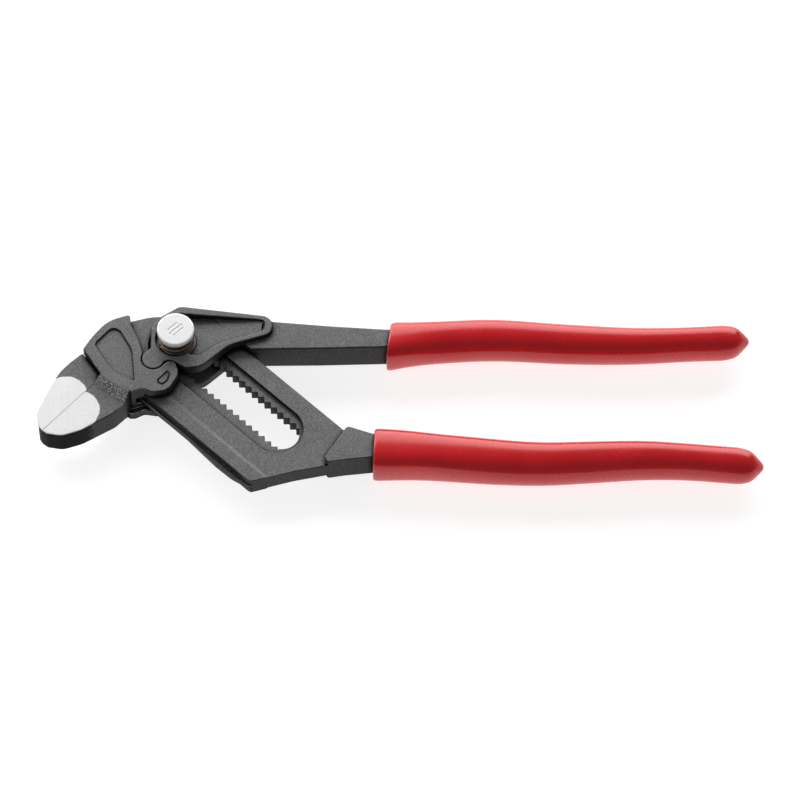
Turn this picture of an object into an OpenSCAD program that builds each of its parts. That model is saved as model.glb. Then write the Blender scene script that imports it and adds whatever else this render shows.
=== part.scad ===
// Push-button adjustable pliers with smooth parallel jaws, lying flat on one side.
//
// Working frame, in mm: the origin is the axis of the hinge bolt at the middle of
// the tool's thickness. X runs along the handles, Y is across them and Z is the bolt
// axis, with the button at the top. place() moves everything so that the origin is
// under the middle of the tool, on the surface that it lies on.
//
// The slot, the teeth and the jaws follow a slide direction that is turned down from
// X by slide_angle. sl(s, t) gives the point s along that direction and t across it.

/* [Slide and jaws] */
// Angle of the slide direction below the handles' direction
slide_angle = 43.3; // [40:0.1:47]
// Distance from the bolt axis to the closed jaw faces, against the slide direction
jaw_face = 9.0; // [7:0.1:11]
// Distance from the bolt axis to the end of the jaws
jaw_tip = 56.7; // [50:0.1:60]
// Half the thickness of the jaws at the tip
tip_half = 4.9; // [4:0.1:6]
// Half the thickness of the jaws where they leave the head
root_half = 5.4; // [4.5:0.1:7]
// Gap between the closed jaws
jaw_gap = 0.1; // [0.05:0.01:0.3]

/* [Head plates] */
// Half the thickness over the cheeks
cheek_half = 8.0; // [7:0.1:9]
// Half the thickness of the slotted plate
plate_half = 3.5; // [3:0.1:4]
// Half the thickness of the toothed web in the slot channel
web_half = 2.2; // [1.5:0.1:3]
// Half the gap between the moving lever's cheeks
fork_half = 3.7; // [3.6:0.05:4]
// Half the gap between the sliding jaw's cheeks
jaw_fork_half = 4.1; // [4.05:0.05:4.4]
// Distance from the bolt axis to the rail edge of the plate
rail = 21.9; // [20:0.1:24]
// Distance from the bolt axis to the other long edge of the plate
back_edge = 15.0; // [13:0.1:17]

/* [Teeth] */
// Distance from one tooth to the next
pitch = 3.05; // [2.5:0.01:3.5]
// Height of a tooth
tooth = 1.5; // [1:0.05:1.8]
// Half the width between the tooth tips on both sides of the slot
tip_width = 4.6; // [4:0.05:5.5]
// Gap between the bolt's teeth and the slot's teeth
mesh_gap = 0.08; // [0.03:0.01:0.15]
// Distance from the bolt axis to the closed end of the slot
slot_end = 56.6; // [50:0.1:60]

/* [Bolt and button] */
// Radius of the bolt's shaft
shaft_r = 4.0; // [3:0.1:5]
// Radius of the bolt's bearing flange
flange_r = 7.0; // [6.5:0.1:7.5]
// Radial gap of the bolt in the moving lever
bolt_gap = 0.06; // [0.02:0.01:0.1]
// Radius of the button
button_r = 6.4; // [6:0.1:7]
// Height of the button's top above the middle of the tool
button_top = 14.2; // [12:0.1:15]
// Thickness of the button's head
button_thick = 2.0; // [1.5:0.1:3]
// How far the button is pressed to free the teeth
press = 3.3; // [3.2:0.05:4]
// Radius of the counterbore around the button
well_r = 7.05; // [6.8:0.05:8]
// Height of the counterbore's floor above the middle of the tool
well_floor = 5.0; // [4.5:0.1:6]
// Radius of the spring wire
wire_r = 0.5; // [0.4:0.05:0.7]
// Radius of the spring's coils to the middle of the wire
coil_r = 5.8; // [4.8:0.05:5.8]
// Number of coils
coils = 2.25; // [2:0.25:4]

/* [Lobe and socket] */
// Distance from the bolt axis to the middle of the lobe that drives the sliding jaw
lobe_arm = 11.3; // [10:0.1:13]
// Radius of the lobe
lobe_r = 4.0; // [3.5:0.1:4.5]
// Gap around the lobe
lobe_gap = 0.13; // [0.05:0.01:0.3]

/* [Handles] */
// Half the thickness of the moving lever's shank
shank_half = 6.1; // [5:0.1:6.5]
// Half the thickness of the fixed lever's neck
neck_half = 5.8; // [5:0.1:6.5]
// Half the thickness of the steel inside the sleeves
tang_half = 4.6; // [3.5:0.1:5]
// Thickness of the sleeves' wall above and below the steel
sleeve_wall = 2.3; // [1.5:0.1:3]
// Half the thickness of the sleeves at mid length
grip_half = 7.0; // [6:0.1:8]

/* [Hidden] */
far = 200;
// Round outlines get one straight edge for every so many degrees.
step_deg = 12;
// The bolt axis stands this far from the middle of the tool's outline.
axis_x = -77.42;
axis_y = 21.36;
steel = [0.30, 0.30, 0.31];
bright = [0.78, 0.78, 0.76];
red = [0.62, 0.10, 0.12];
copper = [0.45, 0.33, 0.25];

// The sleeves' middle line and half height at a few stations along the handles, and
// the half thickness, each as [x, value], between which a smooth curve is drawn.
upper_mid = [[73.5, 1.4], [81, 2.1], [89, 2.7], [110, 3.65], [135, 2.1], [158, 1.35],
    [178, 2.05], [199, 3.1]];
upper_high = [[73.5, 7.5], [76.5, 7.6], [81, 7.15], [89, 7.05], [110, 6.85], [143, 6.3],
    [160, 5.8], [176, 5.45], [186, 5.6], [192, 5.75]];
lower_mid = [[68.4, -41.6], [81, -42.0], [97, -43.45], [112, -44.8], [126, -45.5],
    [143, -44.85], [160, -44.15], [175, -44.65], [192, -46.1], [202, -46.75]];
lower_high = [[68.4, 8.4], [72.5, 8.4], [79, 8.05], [89, 7.65], [106, 7.6], [126, 7.2],
    [143, 6.9], [160, 6.45], [176, 5.95], [194, 6.0]];
upper_front = 73.5;
upper_end = 198.4;
lower_front = 68.4;
lower_end = 201.95;
// Where the steel ends inside each sleeve, and the middle and half height of the levers
// where they go into the sleeves.
upper_steel = 184;
lower_steel = 186;
upper_y = 1.15;
upper_half = 3.6;
lower_y = -41.225;
lower_half = 4.625;

function sl(s, t, r = 0) = [s * cos(slide_angle) + t * sin(slide_angle),
    t * cos(slide_angle) - s * sin(slide_angle), r];
function flat(p) = [p[0], p[1]];
function unit(v) = v / norm(v);

// An arc of radius r in the corner b between a and c.
function corner(a, b, c, r) =
    let (u = unit(a - b), v = unit(c - b), half = acos(u * v) / 2,
        mid = b + unit(u + v) * r / sin(half),
        p = b + u * r / tan(half) - mid, q = b + v * r / tan(half) - mid,
        from = atan2(p[1], p[0]), turn = (atan2(q[1], q[0]) - from + 540) % 360 - 180,
        n = max(2, ceil(abs(turn) / step_deg)))
    [for (i = [0:n]) mid + r * [cos(from + turn * i / n), sin(from + turn * i / n)]];

// An outline through corner points [x, y, radius], with each corner rounded.
function rounded(p) = [for (i = [0:len(p) - 1])
    let (n = len(p), b = flat(p[i]))
    each (p[i][2] > 0 ? corner(flat(p[(i + n - 1) % n]), b, flat(p[(i + 1) % n]), p[i][2])
        : [b])];

// A smooth curve through stations, Catmull-Rom with end values held.
function at(c, x) =
    let (n = len(c), i = max([for (k = [0:n - 2]) x >= c[k][0] ? k : 0]),
        a = c[max(i - 1, 0)], b = c[i], d = c[i + 1], e = c[min(i + 2, n - 1)],
        w = d[0] - b[0], f = min(1, max(0, (x - b[0]) / w)),
        m = (d[1] - a[1]) / (d[0] - a[0]) * w, k = (e[1] - b[1]) / (e[0] - b[0]) * w)
    (2 * f * f * f - 3 * f * f + 1) * b[1] + (f * f * f - 2 * f * f + f) * m
        + (3 * f * f - 2 * f * f * f) * d[1] + (f * f * f - f * f) * k;

module place() {
    translate([axis_x, axis_y, cheek_half])
        children();
}

// A plate with the given outline between two heights.
module plate(p, low, high) {
    translate([0, 0, low])
        linear_extrude(height = high - low)
            polygon(rounded(p));
}

// Everything between two values across the slide and two along it.
module band(s0, s1, t0, t1, low, high) {
    rotate([0, 0, -slide_angle])
        translate([s0, t0, low])
            cube([s1 - s0, t1 - t0, high - low]);
}

// A solid that runs along the slide, drawn as [across, height] points.
module along(s0, s1, p) {
    rotate([0, 0, -slide_angle])
        translate([s0, 0, 0])
            rotate([90, 0, 90])
                linear_extrude(height = s1 - s0)
                    polygon(p);
}

// ---- fixed jaw lever ----

function head_outline() = [
    sl(-jaw_face - jaw_gap / 2, -rail, 0.5),
    sl(56.4, -rail, 1.6),
    [41.0, -50.4, 20],
    [52.1, -48.1, 1.5],
    [55.0, -46.8, 0],
    [66.0, -45.0, 0],
    [66.0, -36.2, 0],
    [58.3, -34.2, 3],
    sl(8.5, back_edge, 8),
    [8.0, 11.5, 9],
    [-9.0, 11.2, 14],
    [-16.2, 9.3, 3],
    [-23.7, 6.6, 12],
    [-28.6, 0.4, 16],
    [-31.7, -4.2, 2],
    [-29.0, -9.5, 0],
    sl(-jaw_face - jaw_gap / 2, -29, 0)];

function fixed_jaw_outline() = [
    sl(-jaw_face - jaw_gap / 2, -28.1, 0),
    sl(-jaw_face - jaw_gap / 2, -jaw_tip, 0),
    [-46.6, -33.4, 2.5],
    [-47.4, -27.6, 5],
    [-44.6, -20.6, 30],
    [-39.9, -11.2, 24],
    [-32.3, -4.4, 0.8]];

// The slot, toothed on both long sides, with a round closed end.
module slot_cut() {
    s0 = -6.9;
    first = -2.5;
    count = 20;
    last = slot_end - 2.6;
    shift = -0.45;
    upper = [for (j = [0:count - 1]) each [
        [(first + j) * pitch + shift, tip_width],
        [(first + j + 0.5) * pitch + shift, tip_width + tooth]]];
    lower = [for (j = [count - 1:-1:0]) each [
        [(first + j + 0.5) * pitch + shift, -tip_width - tooth],
        [(first + j) * pitch + shift, -tip_width]]];
    rotate([0, 0, -slide_angle])
        translate([0, 0, -far / 2])
            linear_extrude(height = far)
                polygon(concat([[s0, tip_width]], upper,
                    [[(first + count) * pitch + shift, tip_width],
                        [last, tip_width + 0.9], [last, -tip_width - 0.9],
                        [(first + count) * pitch + shift, -tip_width]],
                    lower, [[s0, -tip_width]]));
    // the round end, past the last tooth
    rotate([0, 0, -slide_angle])
        intersection() {
            translate([slot_end - 5.9, 0, -far / 2])
                cylinder(r = 5.9, h = far, $fn = 96);
            translate([last - 0.1, -10, -far / 2])
                cube([20, 20, far]);
        }
}

// The channel around the slot, cut into each side of the plate.
module channel_cut() {
    for (side = [0, 1])
        mirror([0, 0, side])
            rotate([0, 0, -slide_angle])
                translate([0, -0.5, web_half]) {
                    translate([48.8, 0, 0])
                        cylinder(r = 9, h = 10, $fn = 96);
                    translate([-0.3, 0, 0])
                        cylinder(r = 9.05, h = 10, $fn = 96);
                    translate([-0.3, -8.98, 0])
                        cube([49.1, 17.96, 10]);
                }
}

// The strip along the rail edge, a little thicker than the plate.
module rail_strip() {
    intersection() {
        along(-jaw_face - jaw_gap / 2, 70, [[-rail, -plate_half - 0.5],
            [-17.1, -plate_half - 0.5], [-16.3, -plate_half], [-16.3, plate_half],
            [-17.1, plate_half + 0.5], [-rail, plate_half + 0.5]]);
        plate(head_outline(), -6, 6);
    }
}

// The guide rib on the middle of the rail edge.
module rail_rib() {
    plate([sl(-jaw_face - jaw_gap / 2, -rail + 1), sl(-jaw_face - jaw_gap / 2, -rail - 0.8),
        sl(26, -rail - 0.9, 30), sl(42, -rail - 1.9, 12), sl(49, -rail - 1.7, 8),
        sl(57.2, -rail - 0.05, 0.6), sl(56, -rail + 1)], -1.5, 1.5);
}

// The steel inside a sleeve. It starts as the lever's end, mid_y and half height half_y,
// and grows to follow the sleeve's own line. Each of these holds for one lever.
function grown(x, front) = max(0, min(1, (x - front - 3.8) / 5.2));
function steel_mid(mid, front, mid_y, x) =
    mid_y + (at(mid, max(x, front + 9)) - mid_y) * grown(x, front);
function steel_high(high, front, half_y, x) =
    half_y + (at(high, max(x, front + 9)) - sleeve_wall - half_y) * grown(x, front);
function stations(front, end) = concat([front + 3.8],
    [for (i = [0:12]) front + 9 + (end - front - 9) * i / 12]);

module tang(mid, high, front, end, mid_y, half_y) {
    x = stations(front, end);
    n = len(x) - 1;
    translate([0, 0, -tang_half])
        linear_extrude(height = 2 * tang_half)
            polygon(concat(
                [for (i = [0:n]) [x[i], steel_mid(mid, front, mid_y, x[i])
                    + steel_high(high, front, half_y, x[i])]],
                [[end + 2.4, at(mid, end) + 1.4], [end + 2.4, at(mid, end) - 1.4]],
                [for (i = [n:-1:0]) [x[i], steel_mid(mid, front, mid_y, x[i])
                    - steel_high(high, front, half_y, x[i])]]));
}

module fixed_jaw_lever() {
    color(steel)
        place() {
            difference() {
                union() {
                    plate(head_outline(), -plate_half, plate_half);
                    rail_strip();
                    rail_rib();
                }
                slot_cut();
                channel_cut();
            }
            intersection() {
                plate(fixed_jaw_outline(), -9, 9);
                along(-60, 0, [[-60, -tip_half], [-28, -root_half], [-20, -root_half],
                    [-20, root_half], [-28, root_half], [-60, tip_half]]);
            }
            plate([[59.2, -33.6, 1.5], [67.9, -36.6, 3], [lower_front + 4.5, -36.6, 0],
                [lower_front + 4.5, -45.85, 0], [67.9, -45.85, 4], [58.5, -46.9, 4],
                [52.4, -47.9, 1.0], [51.6, -45.6, 1.0]], -neck_half, neck_half);
            tang(lower_mid, lower_high, lower_front, lower_steel, lower_y, lower_half);
        }
}

// ---- sliding jaw ----

function jaw_cheek_outline() = [
    [-16.2, 9.6, 0.9],
    [-23.9, 7.1, 12],
    [-29.1, 0.6, 16],
    [-32.1, -4.3, 0.8],
    sl(-9.6, -27.7, 0.8),
    sl(3.6, -25.8, 0.8),
    [-11.4, -19.9, 3],
    [-7.5, -21.6, 3],
    [-2.2, -20.6, 4.5],
    [1.4, -14.0, 5],
    [-0.4, -8.7, 1.9],
    [-4.0, -9.6, 0],
    [-7.7, -8.2, 0],
    [-11.2, -6.6, 0.5],
    [-12.9, -0.7, 4],
    [-15.7, 5.4, 5]];

function jaw_block_outline() = [
    sl(-jaw_face + jaw_gap / 2, -rail - 0.15, 0),
    sl(-jaw_face + jaw_gap / 2, -jaw_tip, 0),
    [-43.8, -36.3, 1.5],
    [-38.6, -37.2, 6],
    [-32.0, -35.0, 10],
    [-26.2, -31.5, 8],
    [-20.9, -28.3, 5],
    [-16.9, -24.3, 8],
    [-15.2, -19.6, 0]];

module pocket_outline(grow) {
    offset(delta = grow)
        polygon(rounded([[-28.0, -2.3, 1.5], [-21.9, 4.5, 2.2], [-19.3, 2.6, 1.5],
            [-15.3, -4.6, 7], [-14.2, -17.0, 0.3], [-21.6, -12.7, 4]]));
}

module d_mark_outline() {
    polygon(rounded([[-6.2, -16.6, 0.4], [-2.7, -12.8, 0.6], [-1.7, -14.6, 1.0],
        [-2.6, -17.3, 1.4], [-4.4, -18.8, 1.0], [-6.0, -18.0, 0.8]]));
}

module sliding_jaw() {
    color(steel)
        place()
            difference() {
                union() {
                    plate(jaw_cheek_outline(), -cheek_half, cheek_half);
                    // the rear cheek reaches a little further out under the hook
                    plate([[-17.5, -20.0, 0], [-16.4, -23.3, 1.2], [-14.0, -23.2, 2],
                        [-11.0, -21.6, 3], [-6.4, -22.3, 2], [-3.2, -20.4, 0], [-8.0, -17.0, 0]],
                        -cheek_half, -jaw_fork_half);
                    intersection() {
                        plate(jaw_block_outline(), -9, 9);
                        along(-30, 20, [[-60, -tip_half], [-28, -root_half],
                            [-20, -root_half], [-20, root_half], [-28, root_half],
                            [-60, tip_half]]);
                    }
                    // the sloped shoulder between the jaw and the cheeks
                    intersection() {
                        plate(jaw_block_outline(), -9, 9);
                        rotate([0, 0, 8.2])
                            along(-60, 60, [[-30.3, -root_half], [-27.0, -cheek_half],
                                [-22.0, -cheek_half], [-22.0, cheek_half],
                                [-27.0, cheek_half], [-30.3, root_half]]);
                    }
                }
                // the space for the plate and for its rib
                band(-80, 80, -rail - 0.15, 80, -jaw_fork_half, jaw_fork_half);
                band(-80, -jaw_face + jaw_gap / 2, -80, 80, -jaw_fork_half, jaw_fork_half);
                band(-80, 80, -rail - 2.3, 0, -1.65, 1.65);
                // the fixed jaw's root, which is thicker than its plate
                plate([sl(-40, -25.2), sl(-20.6, -25.2), sl(-9.6, -27.9),
                    sl(-jaw_face + jaw_gap / 2, -27.9), sl(-jaw_face + jaw_gap / 2, -60),
                    sl(-40, -60)], -root_half - 0.1, root_half + 0.1);
                // the socket for the lobe
                translate(sl(0, -lobe_arm) - [0, 0, 20])
                    cylinder(r = lobe_r + lobe_gap, h = 40, $fn = 96);
                band(-lobe_r - 0.05, lobe_r + 0.08, -lobe_arm, 0, -20, 20);
                for (side = [0, 1])
                    mirror([0, 0, side]) {
                        translate([0, 0, cheek_half - 0.7])
                            linear_extrude(height = 2)
                                pocket_outline(0);
                        translate([0, 0, cheek_half - 0.35])
                            linear_extrude(height = 2)
                                pocket_outline(0.25);
                    }
                translate([0, 0, cheek_half - 0.4])
                    linear_extrude(height = 2)
                        difference() {
                            d_mark_outline();
                            offset(delta = -0.55)
                                d_mark_outline();
                        }
            }
}

// ---- moving lever ----

function cheek_outline() = [
    [-8.8, -3.2, 2],
    [-8.7, 4.6, 3],
    [-5.6, 8.6, 5],
    [1.0, 12.9, 4],
    [33.3, 8.7, 4],
    [33.2, 1.9, 3.8],
    [18.2, -2.8, 12],
    [8.9, -11.4, 7],
    [3.2, -11.8, 3],
    [-1.6, -8.7, 3],
    [-4.7, -9.6, 0.6],
    [-7.9, -7.2, 0]];

module moving_lever() {
    color(steel)
        place() {
            difference() {
                union() {
                    plate(cheek_outline(), -cheek_half, cheek_half);
                    // the neck and the lobe that sits in the sliding jaw's socket
                    band(-3.75, 3.55, -lobe_arm, -6, -cheek_half, cheek_half);
                    translate(sl(0, -lobe_arm) - [0, 0, cheek_half])
                        cylinder(r = lobe_r, h = 2 * cheek_half, $fn = 96);
                }
                // the gap between the cheeks
                difference() {
                    translate([-30, -30, -fork_half])
                        cube([80, 60, 2 * fork_half]);
                    band(4, 80, back_edge + 0.25, 80, -20, 20);
                }
                // the bore for the bolt's flange and the hole for its shaft
                translate([0, 0, -cheek_half - 1])
                    cylinder(r = flange_r + bolt_gap, h = cheek_half, $fn = 96);
                cylinder(r = shaft_r + bolt_gap, h = 20, $fn = 96);
                translate([0, 0, well_floor])
                    cylinder(r = well_r, h = 20, $fn = 96);
                // the recess beside the button, with a floor that rises to the right
                intersection() {
                    plate([[0.5, 9.9, 0], [28.0, 7.5, 0], [30.6, 7.1, 1.3],
                        [30.6, 3.2, 2.2], [15.0, -1.6, 8], [7.7, -6.9, 2], [4.0, -6.0, 0],
                        [0.5, 0, 0]], 4, 12);
                    translate([4, 0, well_floor - 0.05])
                        rotate([0, -5.0, 0])
                            translate([-20, -40, 0])
                                cube([80, 80, 30]);
                }
                plate([[12.0, 8.0, 2], [29.6, 6.4, 1.5], [29.6, 3.4, 1.5],
                    [16.0, -0.4, 6], [10.5, -3.2, 2]], -12, -cheek_half + 0.7);
            }
            // the web and the shank
            plate([sl(4, back_edge + 0.25, 0.5), [25.7, -3.3, 0], [49.7, -3.05, 0],
                [72.6, -2.45, 0], [upper_front + 4.5, -2.45, 0],
                [upper_front + 4.5, 4.75, 0], [72.0, 4.75, 0], [53.0, 6.05, 0],
                [33.0, 7.9, 0], [27.0, 8.4, 0], [14.8, 9.8, 0.6]], -shank_half, shank_half);
            tang(upper_mid, upper_high, upper_front, upper_steel, upper_y, upper_half);
        }
}

// ---- bolt, button, spring ----

module hinge_bolt() {
    shift = -0.45;
    w = tip_width - mesh_gap * 1.2;
    teeth = [for (j = [-3:3]) each [
        [(j - 0.5) * pitch + shift, w], [j * pitch + shift, w + tooth]]];
    teeth_low = [for (j = [3:-1:-3]) each [
        [j * pitch + shift, -w - tooth], [(j - 0.5) * pitch + shift, -w]]];
    color(bright)
        place() {
            // the toothed section, which locks in the slot
            intersection() {
                translate([0, 0, -web_half - 0.05])
                    cylinder(r = 6.8, h = 2 * web_half - 1.2, $fn = 96);
                rotate([0, 0, -slide_angle])
                    translate([0, 0, -5])
                        linear_extrude(height = 10)
                            polygon(concat(teeth, [[9.5, w], [9.5, -w]], teeth_low));
            }
            // the bearing flange behind it
            translate([0, 0, -7.6])
                cylinder(r = flange_r, h = 7.6 - web_half - 0.05, $fn = 96);
            // the shaft up to the button
            translate([0, 0, -web_half - 0.05])
                cylinder(r = shaft_r, h = button_top - button_thick + 1.2 + web_half + 0.05,
                    $fn = 96);
        }
}

module push_button() {
    color(bright)
        place()
            difference() {
                rotate_extrude($fn = 96)
                    polygon([[0, button_top - button_thick],
                        [button_r - 0.35, button_top - button_thick],
                        [button_r, button_top - button_thick + 0.35],
                        [button_r, button_top - 0.4], [button_r - 0.15, button_top - 0.12],
                        [button_r - 0.5, button_top], [0, button_top]]);
                cylinder(r = shaft_r + 0.02, h = button_top - button_thick + 1.25, $fn = 96);
                // a generic press mark, three short bars across the slide direction
                for (k = [-1, 0, 1])
                    rotate([0, 0, slide_angle])
                        translate([-3 + abs(k) * 0.8, k * 1.5 - 0.25, button_top - 0.15])
                            cube([6 - abs(k) * 1.6, 0.5, 1]);
            }
}

// A round wire that climbs in a helix, closed at both ends.
module helix(r, wire, turns, low, high) {
    per = 28;
    n = round(turns * per);
    m = 10;
    p = [for (i = [0:n]) let (a = 360 * i / per, z = low + (high - low) * i / n)
        each [for (k = [0:m - 1]) let (b = 360 * k / m)
            [(r + wire * cos(b)) * cos(a), (r + wire * cos(b)) * sin(a),
                z + wire * sin(b)]]];
    faces = concat(
        [[for (k = [0:m - 1]) k]],
        [for (i = [0:n - 1], k = [0:m - 1])
            [i * m + k, (i + 1) * m + k, (i + 1) * m + (k + 1) % m]],
        [for (i = [0:n - 1], k = [0:m - 1])
            [i * m + k, (i + 1) * m + (k + 1) % m, i * m + (k + 1) % m]],
        [[for (k = [m - 1:-1:0]) n * m + k]]);
    polyhedron(points = p, faces = faces, convexity = 6);
}

module button_spring() {
    color(copper)
        place()
            rotate([0, 0, 200])
                helix(coil_r, wire_r, coils, well_floor + 0.5 + wire_r + 0.05,
                    button_top - button_thick - wire_r - 0.05);
}

module spring_seat() {
    color(bright)
        place()
            difference() {
                translate([0, 0, well_floor + 0.02])
                    cylinder(r = well_r - 0.25, h = 0.45, $fn = 96);
                translate([0, 0, well_floor - 1])
                    cylinder(r = shaft_r + 0.15, h = 3, $fn = 96);
            }
}

// ---- sleeves ----

// One ring of a sleeve: a rounded oval with half height a and half thickness b. Its corners
// get squarer as e falls, and its faces tilt towards the upper side by draft.
function oval(x, y, a, b, lean, m, e, draft) = [for (k = [0:m - 1])
    let (w = 360 * k / m, c = cos(w), s = sin(w),
        u = sign(c) * pow(abs(c), e), v = sign(s) * pow(abs(s), e))
    [x + lean * a * u, y + a * u, b * v * (1 - draft * u)]];

// One ring of the space inside a sleeve, a rectangle with cut corners.
function inner(x, y, a, b, lean, m) = [for (k = [0:m - 1])
    let (w = 360 * k / m, c = cos(w), s = sin(w),
        q = 1 / max(abs(c), abs(s)), py = a * c * q, pz = b * s * q)
    [x + lean * py, y + py, pz]];

module sleeve(mid, high, front, end, steel_end, mid_y, half_y, neck, boxy, slant) {
    m = 40;
    nose = 9.5;
    body = end - nose;
    n = 22;
    // the pointed nub, as [distance from its tip, share of the sleeve's size]
    nub = [[0.12, 0.11], [0.38, 0.19], [0.8, 0.28], [1.8, 0.46], [2.9, 0.64], [3.9, 0.775],
        [4.9, 0.865], [6.1, 0.93], [7.7, 0.98]];
    outside = concat(
        [for (q = nub) let (x = end - q[0])
            oval(x, at(mid, x), at(high, x) * q[1], (grip_half - 1) * q[1], 0, m,
                0.82, 0)],
        [for (i = [0:n]) let (x = body + (front + 1.7 - body) * i / n,
            thin = grip_half - 0.9 * max(0, (x - front - 60) / (end - front - 60))
                + 0.35 * pow(max(0, 1 - (x - front) / 7), 2),
            lean = slant * max(0, 1 - (x - front) / 30),
            f = pow(max(0, 1 - (x - front) / boxy), 2) * (1 + 2 * min(1, (x - front) / boxy)))
            oval(x, at(mid, x), at(high, x), thin, lean, m, 0.82 - 0.2 * f, 0.085 * f)],
        // the rounded front edge, as [distance from the front, how far it draws in]
        [for (q = [[0.75, 0.08], [0.25, 0.28], [0, 0.58]])
            oval(front + q[0], at(mid, front), at(high, front) - q[1],
                grip_half + 0.3 - q[1] / 2, slant, m, 0.62, 0.085)]);
    // the space inside, which fits the steel
    fit = 0.12;
    x = stations(front, steel_end);
    hollow = concat(
        [for (i = [0:2]) let (at_x = front + [0, 3.8, 4.6][i])
            inner(at_x, steel_mid(mid, front, mid_y, at_x),
                steel_high(high, front, half_y, at_x) + fit, neck + fit,
                i == 0 ? slant : 0, m)],
        [for (at_x = concat([front + 4.75], [for (i = [1:len(x) - 1]) x[i]]))
            inner(at_x, steel_mid(mid, front, mid_y, at_x),
                steel_high(high, front, half_y, at_x) + fit, tang_half + fit, 0, m)]);
    last = inner(steel_end + 2.6, at(mid, steel_end), 1.4 + fit, tang_half + fit, 0, m);
    rings = concat(outside, hollow, [last]);
    count = len(rings);
    tip = count * m;
    faces = concat(
        [for (k = [0:m - 1]) [tip, (k + 1) % m, k]],
        [for (i = [0:count - 2], k = [0:m - 1])
            [i * m + k, (i + 1) * m + (k + 1) % m, (i + 1) * m + k]],
        [for (i = [0:count - 2], k = [0:m - 1])
            [i * m + k, i * m + (k + 1) % m, (i + 1) * m + (k + 1) % m]],
        [for (k = [0:m - 1]) [tip + 1, (count - 1) * m + k, (count - 1) * m + (k + 1) % m]]);
    points = concat([for (r = rings) each r], [[end, at(mid, end), 0],
        [steel_end + 2.6, at(mid, steel_end), 0]]);
    polyhedron(points = points, faces = faces, convexity = 10);
}

module upper_grip_sleeve() {
    color(red)
        place()
            sleeve(upper_mid, upper_high, upper_front, upper_end, upper_steel, upper_y,
                upper_half, shank_half, 20, 0.12);
}

module lower_grip_sleeve() {
    color(red)
        place()
            sleeve(lower_mid, lower_high, lower_front, lower_end, lower_steel, lower_y,
                lower_half, neck_half, 60, 0.04);
}

fixed_jaw_lever();
sliding_jaw();
moving_lever();
hinge_bolt();
push_button();
button_spring();
spring_seat();
upper_grip_sleeve();
lower_grip_sleeve();
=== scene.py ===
import math

import bmesh
import bpy
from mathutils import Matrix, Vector


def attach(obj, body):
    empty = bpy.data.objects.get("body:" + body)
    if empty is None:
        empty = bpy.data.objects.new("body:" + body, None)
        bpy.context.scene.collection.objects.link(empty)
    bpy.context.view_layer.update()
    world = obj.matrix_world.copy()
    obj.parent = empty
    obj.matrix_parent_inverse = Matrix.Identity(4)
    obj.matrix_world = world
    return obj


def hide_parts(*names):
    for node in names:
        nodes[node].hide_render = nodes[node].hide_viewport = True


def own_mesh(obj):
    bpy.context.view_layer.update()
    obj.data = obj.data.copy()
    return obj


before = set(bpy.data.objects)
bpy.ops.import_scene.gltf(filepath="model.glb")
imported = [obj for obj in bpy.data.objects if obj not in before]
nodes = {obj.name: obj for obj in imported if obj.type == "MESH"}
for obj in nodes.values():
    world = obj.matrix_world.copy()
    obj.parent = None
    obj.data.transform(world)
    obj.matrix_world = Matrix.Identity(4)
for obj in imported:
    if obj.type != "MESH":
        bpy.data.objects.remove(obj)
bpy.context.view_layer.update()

# Push-button adjustable pliers. Every piece is a refined copy of its CAD node, with the
# edges of a forging or a turned part, and with a material of its own.

MM = 0.001
AXIS = Vector((-77.42, 21.36, 8.0)) * MM  # the hinge bolt, at the middle of the thickness
SLIDE = math.radians(43.3)  # how far the slot's direction falls below the handles'
FLANGE_R = 7.02  # just over the bolt flange's radius, in mm
FLANGE_FACE = -2.25  # height of the flange's inner face, in mm
JAW_FACE = -9  # where the jaws meet along the slide, in mm
WEB_HEEL = (26.2, -54.5)  # the small lip on the heel of the plate's web, in mm
CRISP_WIDTH = 0.08 * MM
FLOOR_SIZE = 6.0  # half the floor's side, in m
FLOOR_DROP = 0.1 * MM  # the rear faces would otherwise lie in the same plane
FLOOR_GLOW = 0.80
WORLD_LIGHT = 0.20
VIEW_DISTANCE = 2.0  # from the camera to its target, in m
VIEW_WIDTH = 0.2759  # what the picture shows across at that distance, in m
VIEW_TILT = math.radians(30)  # from straight down


def at(x, y, z=0.0):
    """A point given in mm from the hinge bolt, in the row frame."""
    return AXIS + Vector((x, y, z)) * MM


# ---------------------------------------------------------------- shapes


def across(co):
    """How far a point lies along the slide, and up the jaws from the bolt, in mm."""
    p = (co - AXIS) / MM
    return (p.x * math.cos(SLIDE) - p.y * math.sin(SLIDE),
            p.x * math.sin(SLIDE) + p.y * math.cos(SLIDE))


def crisp(co):
    """True where an edge stays nearly sharp: on the ground meeting faces of the two jaws,
    on the inner face of the bolt's flange, which fits closely in its bore, and at the small
    lip on the heel of the plate's web, which rounding would push outwards."""
    s, t = across(co)
    p = (co - AXIS) / MM
    flange = math.hypot(p.x, p.y) < FLANGE_R and abs(p.z - FLANGE_FACE) < 0.02
    heel = math.hypot(p.x - WEB_HEEL[0], p.y - WEB_HEEL[1]) < 0.35 and abs(p.z) < 1.6
    return flange or heel or (abs(s - JAW_FACE) < 0.4 and t < -22)


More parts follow.
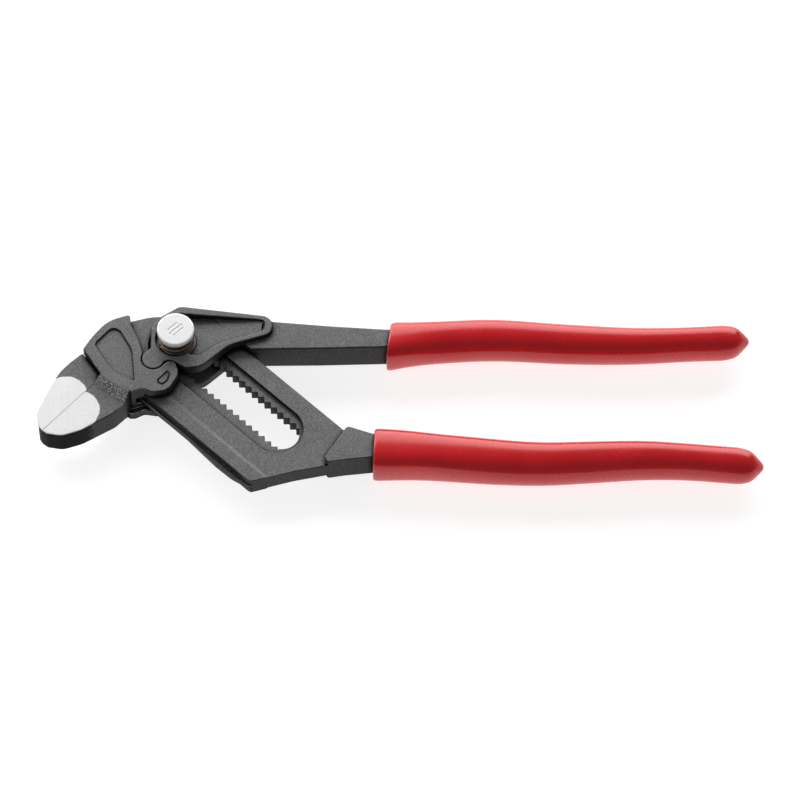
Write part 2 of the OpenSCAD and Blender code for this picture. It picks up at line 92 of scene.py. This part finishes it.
def refined(name, node, body, width, smooth=40):
    """A copy of a CAD node with its flat faces joined and its edges rounded by width."""
    bm = bmesh.new()
    bm.from_mesh(nodes[node].data)
    bmesh.ops.remove_doubles(bm, verts=bm.verts, dist=2e-6)
    if width:
        bmesh.ops.dissolve_limit(
            bm, angle_limit=math.radians(0.7), use_dissolve_boundaries=False,
            verts=bm.verts, edges=bm.edges)
        # degenerate leftovers would spoil the rounding
        bmesh.ops.dissolve_degenerate(bm, dist=2e-6, edges=bm.edges)
    bm.normal_update()
    mesh = bpy.data.meshes.new(name)
    weights = []
    bm.edges.ensure_lookup_table()
    for e in bm.edges:
        w = 0.0
        if width and len(e.link_faces) == 2:
            angle = e.calc_face_angle(0.0)
            if angle > math.radians(28):
                a, b = e.verts[0].co, e.verts[1].co
                d = (b - a).normalized()
                room = 1.0
                for f in e.link_faces:
                    reach = max(((v.co - a) - (v.co - a).dot(d) * d).length for v in f.verts)
                    room = min(room, reach)
                w = min(1.0, 0.4 * room / width)
                if crisp(e.verts[0].co) and crisp(e.verts[1].co):
                    w = min(w, CRISP_WIDTH / width)
        weights.append(w)
    bm.to_mesh(mesh)
    bm.free()
    ob = bpy.data.objects.new(name, mesh)
    bpy.context.scene.collection.objects.link(ob)
    if width:
        layer = mesh.attributes.new("bevel_weight_edge", "FLOAT", "EDGE")
        layer.data.foreach_set("value", weights)
        mod = ob.modifiers.new("rounding", "BEVEL")
        mod.width = width
        mod.segments = 3
        mod.limit_method = "WEIGHT"
        mod.use_clamp_overlap = False
        mod.miter_outer = "MITER_ARC"
    mesh.shade_smooth()
    if width:
        normals = ob.modifiers.new("normals", "WEIGHTED_NORMAL")
        normals.mode = "FACE_AREA"
        normals.weight = 100
        normals.keep_sharp = True
    else:
        mesh.set_sharp_from_angle(angle=math.radians(smooth))
    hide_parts(node)
    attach(ob, body)
    return ob


# ---------------------------------------------------------------- materials


class Nodes:
    """A short way to write a node material."""

    def __init__(self, name):
        self.mat = bpy.data.materials.new(name)
        self.mat.use_nodes = True
        self.tree = self.mat.node_tree
        self.tree.nodes.clear()
        self.out = self.tree.nodes.new("ShaderNodeOutputMaterial")
        self.bsdf = self.tree.nodes.new("ShaderNodeBsdfPrincipled")
        self.tree.links.new(self.bsdf.outputs[0], self.out.inputs["Surface"])
        coord = self.tree.nodes.new("ShaderNodeTexCoord")
        self.pos = coord.outputs["Object"]
        self.nor = coord.outputs["Normal"]

    def put(self, socket, value):
        if isinstance(value, bpy.types.NodeSocket):
            self.tree.links.new(value, socket)
        else:
            socket.default_value = value

    def math(self, op, a, b=0.0, c=0.0, clamp=False):
        n = self.tree.nodes.new("ShaderNodeMath")
        n.operation = op
        n.use_clamp = clamp
        for s, v in zip(n.inputs, (a, b, c)):
            self.put(s, v)
        return n.outputs[0]

    def vec(self, op, a, b=(0, 0, 0)):
        n = self.tree.nodes.new("ShaderNodeVectorMath")
        n.operation = op
        self.put(n.inputs[0], a)
        self.put(n.inputs["Scale"] if op == "SCALE" else n.inputs[1], b)
        return n.outputs["Value"] if op in ("DOT_PRODUCT", "LENGTH") else n.outputs[0]

    def noise(self, scale, detail=3.0, rough=0.55, vector=None):
        n = self.tree.nodes.new("ShaderNodeTexNoise")
        self.put(n.inputs["Vector"], vector or self.pos)
        n.inputs["Scale"].default_value = scale
        n.inputs["Detail"].default_value = detail
        n.inputs["Roughness"].default_value = rough
        return n.outputs["Fac"]

    def voronoi(self, scale):
        n = self.tree.nodes.new("ShaderNodeTexVoronoi")
        self.put(n.inputs["Vector"], self.pos)
        n.inputs["Scale"].default_value = scale
        return n.outputs["Distance"]

    def remap(self, value, a, b, c=0.0, d=1.0, smooth=False):
        n = self.tree.nodes.new("ShaderNodeMapRange")
        n.interpolation_type = "SMOOTHSTEP" if smooth else "LINEAR"
        self.put(n.inputs["Value"], value)
        for s, v in zip(("From Min", "From Max", "To Min", "To Max"), (a, b, c, d)):
            self.put(n.inputs[s], v)
        return n.outputs[0]

    def mix(self, fac, a, b):
        n = self.tree.nodes.new("ShaderNodeMix")
        n.data_type = "RGBA"
        self.put(n.inputs[0], fac)
        self.put(n.inputs[6], a)
        self.put(n.inputs[7], b)
        return n.outputs[2]

    def lerp(self, fac, a, b):
        n = self.tree.nodes.new("ShaderNodeMix")
        n.data_type = "FLOAT"
        self.put(n.inputs[0], fac)
        self.put(n.inputs[2], a)
        self.put(n.inputs[3], b)
        return n.outputs[0]

    def mapped(self, scale, rotation=(0, 0, 0)):
        n = self.tree.nodes.new("ShaderNodeMapping")
        self.put(n.inputs["Vector"], self.pos)
        n.inputs["Scale"].default_value = scale
        n.inputs["Rotation"].default_value = rotation
        return n.outputs[0]

    def bump(self, height, distance, strength):
        n = self.tree.nodes.new("ShaderNodeBump")
        self.put(n.inputs["Height"], height)
        n.inputs["Distance"].default_value = distance
        self.put(n.inputs["Strength"], strength)
        return n.outputs[0]

    def capsule(self, a, b):
        """Distance in the plan from the line between two points."""
        flat = self.vec("MULTIPLY", self.pos, (1, 1, 0))
        a, b = Vector((a.x, a.y, 0)), Vector((b.x, b.y, 0))
        pa = self.vec("SUBTRACT", flat, a)
        ba = b - a
        h = self.math("DIVIDE", self.vec("DOT_PRODUCT", pa, ba), ba.dot(ba), clamp=True)
        return self.vec("LENGTH", self.vec("SUBTRACT", pa, self.vec("SCALE", ba, h)))

    def hidden(self, reach, inside=False, alone=True):
        """1 in crevices within this reach, or 1 on raised edges when looking inside. Other
        pieces count too unless it is alone."""
        n = self.tree.nodes.new("ShaderNodeAmbientOcclusion")
        n.samples = 8
        n.inside = inside
        n.only_local = alone
        n.inputs["Distance"].default_value = reach
        return self.math("SUBTRACT", 1.0, n.outputs["AO"])

    def set(self, **values):
        for k, v in values.items():
            self.put(self.bsdf.inputs[k.replace("_", " ")], v)
        return self.mat


def forged_steel(name, polished=None, rough_zone=None):
    """Dark burnished forging: grey flats, gritty grain, rubbed edges, flanks darkened to near
    black by painted shade, and painted shade in hollows and beside other pieces.
    """
    m = Nodes(name)
    up = m.math("ABSOLUTE", m.vec("DOT_PRODUCT", m.nor, (0, 0, 1)))
    flat = m.remap(up, 0.72, 0.97, smooth=True)
    grain = m.noise(2300, 3, 0.6)
    fine = m.noise(5200, 2, 0.6)
    cloud = m.noise(110, 4, 0.6)
    spots = m.remap(m.voronoi(1500), 0.08, 0.30, 1.0, 0.0)
    spots = m.math("MULTIPLY", spots, m.remap(m.noise(420, 3, 0.6), 0.45, 0.62))
    # painted shade: faces turned away from straight up are darkened, so the flanks are near
    # black and the flats grey
    tone = m.lerp(flat, 0.021, 0.163)
    tone = m.math("MULTIPLY", tone, m.remap(grain, 0.3, 0.7, 0.55, 1.45))
    tone = m.math("MULTIPLY", tone, m.remap(fine, 0.3, 0.7, 0.78, 1.22))
    tone = m.math("MULTIPLY", tone, m.remap(cloud, 0.3, 0.7, 0.9, 1.1))
    tone = m.math("MULTIPLY", tone, m.remap(spots, 0, 1, 1.0, 0.6))
    # painted shade: darker and less glossy in hollows and corners, and on faces within 2.6 mm
    # of another piece or of the floor
    painted_crevice_shade = m.remap(m.hidden(0.0026, alone=False), 0.10, 0.42)
    tone = m.math("MULTIPLY", tone, m.remap(painted_crevice_shade, 0, 1, 1.0, 0.05))
    gloss = m.remap(painted_crevice_shade, 0, 1, 0.25, 0.03)
    worn = m.remap(m.hidden(0.0005, inside=True), 0.55, 0.9)
    worn = m.math("MULTIPLY", worn, m.remap(m.noise(900, 4, 0.65), 0.42, 0.62))
    tone = m.math("ADD", tone, m.math("MULTIPLY", worn, m.lerp(flat, 0.05, 0.10)))
    rough = m.math("ADD", m.lerp(flat, 0.52, 0.50), m.remap(grain, 0.2, 0.8, -0.07, 0.09))
    height = m.math("ADD", m.math("MULTIPLY", grain, 0.8), m.math("MULTIPLY", fine, 0.2))
    height = m.math("SUBTRACT", height, m.math("MULTIPLY", spots, 0.7))
    speck = m.remap(m.noise(1500, 4, 0.7), 0.5, 0.72, 0.0, 1.0)
    tone = m.math("ADD", tone, m.math("MULTIPLY", speck, m.lerp(flat, 0.05, 0.02)))
    strength = m.lerp(flat, 0.6, 0.35)
    if rough_zone is not None:
        # a stretch left as cast, with coarse crystals
        zone = rough_zone(m)
        crystal = m.voronoi(1500)
        facet = m.noise(1500, 4, 0.72)
        coarse = m.math("ADD", m.math("MULTIPLY", crystal, 0.35), facet)
        zone_tone = m.math("MULTIPLY", 0.195, m.remap(coarse, 0.54, 0.84, 0.2, 2.6))
        tone = m.lerp(zone, tone, zone_tone)
        rough = m.lerp(zone, rough, 0.5)
        height = m.lerp(zone, height, m.math("MULTIPLY", coarse, 2.4))
        strength = m.lerp(zone, strength, 0.95)
    if polished is not None:
        zone = m.math("MULTIPLY", polished(m), m.remap(up, 0.5, 0.8))
        lines = m.noise(1.0, 5, 0.7, vector=m.mapped(
            scale=(260, 4200, 4200), rotation=(0, 0, SLIDE)))
        cross = m.noise(1.0, 3, 0.6, vector=m.mapped(
            scale=(3000, 190, 3000), rotation=(0, 0, SLIDE + 0.35)))
        shine = m.math("MULTIPLY", 0.97, m.remap(lines, 0.25, 0.75, 0.91, 1.07))
        shine = m.math("MULTIPLY", shine, m.remap(cross, 0.3, 0.7, 0.96, 1.04))
        # painted shade: the flanks beside the ground tips are darkened to nearly black, with
        # less gloss
        tone = m.math("MULTIPLY", tone, m.remap(polished(m), 0, 1, 1.0, 0.12))
        gloss = m.math("MULTIPLY", gloss, m.remap(polished(m), 0, 1, 1.0, 0.15))
        tone = m.lerp(zone, tone, shine)
        gloss = m.lerp(zone, gloss, 0.25)
        rough = m.lerp(zone, rough, m.remap(lines, 0.3, 0.7, 0.34, 0.46))
        height = m.lerp(zone, height, m.math("MULTIPLY", m.math("ADD", lines, cross), 0.5))
        strength = m.lerp(zone, strength, 0.12)
    n = m.tree.nodes.new("ShaderNodeCombineColor")
    m.put(n.inputs[0], tone)
    m.put(n.inputs[1], tone)
    m.put(n.inputs[2], m.math("MULTIPLY", tone, 1.01))
    return m.set(Base_Color=n.outputs[0], Roughness=rough, Metallic=0.3,
                 Specular_IOR_Level=gloss, Normal=m.bump(height, 0.00006, strength))


def ground_tip(start, end, radius):
    """The zone within this radius of a line, with a slightly uneven border."""
    def zone(m):
        d = m.capsule(start, end)
        d = m.math("ADD", d, m.remap(m.noise(500, 3, 0.6), 0.3, 0.7, -0.00018, 0.00018))
        return m.remap(d, radius, radius - 0.00025)
    return zone


def cast_shoulder(m):
    """The sloped shoulder between the sliding jaw and its cheeks."""
    up = m.math("ABSOLUTE", m.vec("DOT_PRODUCT", m.nor, (0, 0, 1)))
    slope = m.math("MULTIPLY", m.remap(up, 0.25, 0.5), m.remap(up, 0.95, 0.85))
    d = m.capsule(at(-27.5, -15.0), at(-16.0, -22.5))
    return m.math("MULTIPLY", slope, m.remap(d, 0.0062, 0.005))


def red_plastic(name):
    """Dipped plastic: glossy, with a faint ripple and a fine orange peel."""
    m = Nodes(name)
    ripple = m.noise(85, 2, 0.5)
    peel = m.noise(800, 3, 0.5)
    fine = m.noise(4200, 2, 0.5)
    tone = m.mix(m.remap(ripple, 0.3, 0.7),
                 (0.60, 0.0060, 0.0120, 1), (0.67, 0.0080, 0.0150, 1))
    tone = m.mix(m.remap(fine, 0.4, 0.75, 0.0, 0.22), tone, (0.74, 0.016, 0.022, 1))
    rough = m.math("ADD", m.remap(peel, 0.3, 0.7, 0.21, 0.27),
                   m.remap(ripple, 0.3, 0.7, 0, 0.02))
    height = m.math("ADD", m.math("MULTIPLY", ripple, 1.0), m.math("MULTIPLY", peel, 0.10))
    height = m.math("ADD", height, m.math("MULTIPLY", fine, 0.02))
    return m.set(Base_Color=tone, Roughness=rough, Metallic=0.0, IOR=1.5,
                 Specular_IOR_Level=0.55, Specular_Tint=(1.0, 0.62, 0.58, 1),
                 Coat_Weight=0.3, Coat_Roughness=0.12,
                 Normal=m.bump(height, 0.00008, 0.25))


def turned_steel(name, base, rough, metal, dark=0.0, warm=0.0):
    """Turned metal: fine rings around the bolt's axis, stained by dark, tinted by warm, and
    darkened by painted shade in its own hollows.
    """
    m = Nodes(name)
    centred = m.vec("MULTIPLY", m.vec("SUBTRACT", m.pos, AXIS), (1, 1, 0))
    radius = m.vec("LENGTH", centred)
    along = m.tree.nodes.new("ShaderNodeCombineXYZ")
    m.put(along.inputs[0], radius)
    rings = m.noise(1.0, 3, 0.6, vector=m.vec("SCALE", along.outputs[0], 2600.0))
    grain = m.noise(3800, 3, 0.55)
    stain = m.noise(160, 4, 0.6)
    tone = m.math("MULTIPLY", base, m.remap(rings, 0.3, 0.7, 0.95, 1.05))
    tone = m.math("MULTIPLY", tone, m.remap(grain, 0.3, 0.7, 0.97, 1.03))
    tone = m.math("MULTIPLY", tone, m.remap(stain, 0.35, 0.65, 1.0 - dark, 1.0))
    # painted shade: darker in this piece's own hollows and corners within 0.5 mm
    painted_crevice_shade = m.remap(m.hidden(0.0005), 0.1, 0.6)
    tone = m.math("MULTIPLY", tone, m.remap(painted_crevice_shade, 0, 1, 1.0, 0.3))
    n = m.tree.nodes.new("ShaderNodeCombineColor")
    m.put(n.inputs[0], m.math("MULTIPLY", tone, 1.0 + warm))
    m.put(n.inputs[1], tone)
    m.put(n.inputs[2], m.math("MULTIPLY", tone, 1.0 - warm))
    uneven = m.math("ADD", rough, m.remap(grain, 0.3, 0.7, -0.05, 0.06))
    height = m.math("ADD", m.math("MULTIPLY", rings, 0.8), m.math("MULTIPLY", grain, 0.2))
    return m.set(Base_Color=n.outputs[0], Roughness=uneven, Metallic=metal,
                 Normal=m.bump(height, 0.00003, 0.3))


def spring_wire(name):
    """Drawn wire with a brown tint and paler streaks along it."""
    m = Nodes(name)
    draw = m.noise(1.0, 3, 0.6, vector=m.mapped(scale=(900, 900, 6000)))
    tint = m.noise(500, 4, 0.6)
    tone = m.mix(m.remap(tint, 0.3, 0.7), (0.13, 0.075, 0.050, 1), (0.34, 0.24, 0.18, 1))
    tone = m.mix(m.remap(draw, 0.4, 0.8, 0.0, 0.45), tone, (0.62, 0.54, 0.47, 1))
    return m.set(Base_Color=tone, Roughness=m.remap(draw, 0.3, 0.7, 0.26, 0.4), Metallic=1.0,
                 Normal=m.bump(draw, 0.00002, 0.4))


# the ground tips of the jaws, as rounded ends that reach up from the tip
tip_a = ground_tip(at(-37.85, -21.63), at(-47.0, -37.0), 0.0079)
tip_b = ground_tip(at(-33.55, -27.03), at(-45.5, -35.8), 0.00785)
steel_fixed = forged_steel("forged_fixed", polished=tip_a)
steel_slide = forged_steel("forged_sliding", polished=tip_b, rough_zone=cast_shoulder)
steel_lever = forged_steel("forged_lever")
plastic = red_plastic("red_dipped_plastic")
bright = turned_steel("button_steel", 0.96, 0.36, 0.25)
bolt_steel = turned_steel("bolt_steel", 0.34, 0.34, 0.8, dark=0.25)
washer_steel = turned_steel("washer_steel", 0.20, 0.36, 0.8, dark=0.3, warm=0.05)
wire = spring_wire("spring_wire")

pieces = [
    (refined("fixed_lever_forging", "fixed_jaw_lever", "fixed_lever",
             0.35 * MM), steel_fixed),
    (refined("sliding_jaw_forging", "sliding_jaw", "slide_jaw",
             0.45 * MM), steel_slide),
    (refined("moving_lever_forging", "moving_lever", "moving_handle",
             0.55 * MM), steel_lever),
    (refined("toothed_bolt", "hinge_bolt", "button", 0.25 * MM), bolt_steel),
    (refined("button_head", "push_button", "button", 0.12 * MM), bright),
    (refined("spring_coil", "button_spring", "bolt_seat", 0), wire),
    (refined("seat_washer", "spring_seat", "bolt_seat", 0.1 * MM), washer_steel),
    (refined("upper_sleeve", "upper_grip_sleeve", "moving_handle", 0,
             smooth=50), plastic),
    (refined("lower_sleeve", "lower_grip_sleeve", "fixed_lever", 0,
             smooth=50), plastic),
]
for ob, mat in pieces:
    ob.data.materials.clear()
    ob.data.materials.append(mat)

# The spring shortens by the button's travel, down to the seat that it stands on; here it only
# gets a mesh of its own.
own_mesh(bpy.data.objects["spring_coil"])


# ---------------------------------------------------------------- studio


def pale_floor():
    me = bpy.data.meshes.new("floor")
    s, z = FLOOR_SIZE, -FLOOR_DROP
    me.from_pydata([(-s, -s, z), (s, -s, z), (s, s, z), (-s, s, z)], [], [(0, 1, 2, 3)])
    ob = bpy.data.objects.new("floor", me)
    bpy.context.scene.collection.objects.link(ob)
    m = Nodes("floor_white")
    tone = m.mix(m.noise(3, 2), (0.44, 0.44, 0.44, 1), (0.46, 0.46, 0.46, 1))
    me.materials.append(m.set(Base_Color=tone, Roughness=0.95, Emission_Color=(1, 1, 1, 1),
                              Emission_Strength=FLOOR_GLOW, Specular_IOR_Level=0.1))


def softbox(name, place, target, size, power):
    light = bpy.data.lights.new(name, "AREA")
    light.shape = "RECTANGLE"
    light.size, light.size_y = size
    light.energy = power
    ob = bpy.data.objects.new(name, light)
    ob.location = place
    ob.rotation_euler = (Vector(target) - Vector(place)).to_track_quat("-Z", "Y").to_euler()
    bpy.context.scene.collection.objects.link(ob)


pale_floor()
world = bpy.data.worlds.new("studio")
bpy.context.scene.world = world
bpy.context.scene.view_settings.view_transform = "Standard"
world.use_nodes = True
world.node_tree.nodes["Background"].inputs[0].default_value = (1, 1, 1, 1)
world.node_tree.nodes["Background"].inputs[1].default_value = WORLD_LIGHT
softbox("back_wall", (-0.15, 1.06, 0.56), (0.0, 0, 0), (2.6, 1.0), 30)
softbox("left_fill", (-1.3, -0.2, 0.9), (0, 0, 0), (0.7, 0.7), 2)

# The camera looks down at 60 degrees, from the side of the slotted lever.
target = at(77.35, -20.13)
camera = bpy.data.cameras.new("camera")
camera.sensor_width = 36
camera.lens = camera.sensor_width * VIEW_DISTANCE / VIEW_WIDTH
camera.clip_end = 20
view = bpy.data.objects.new("camera", camera)
view.location = target + VIEW_DISTANCE * Vector((0, -math.sin(VIEW_TILT), math.cos(VIEW_TILT)))
view.rotation_euler = (VIEW_TILT, 0, 0)
bpy.context.scene.collection.objects.link(view)
bpy.context.scene.camera = view
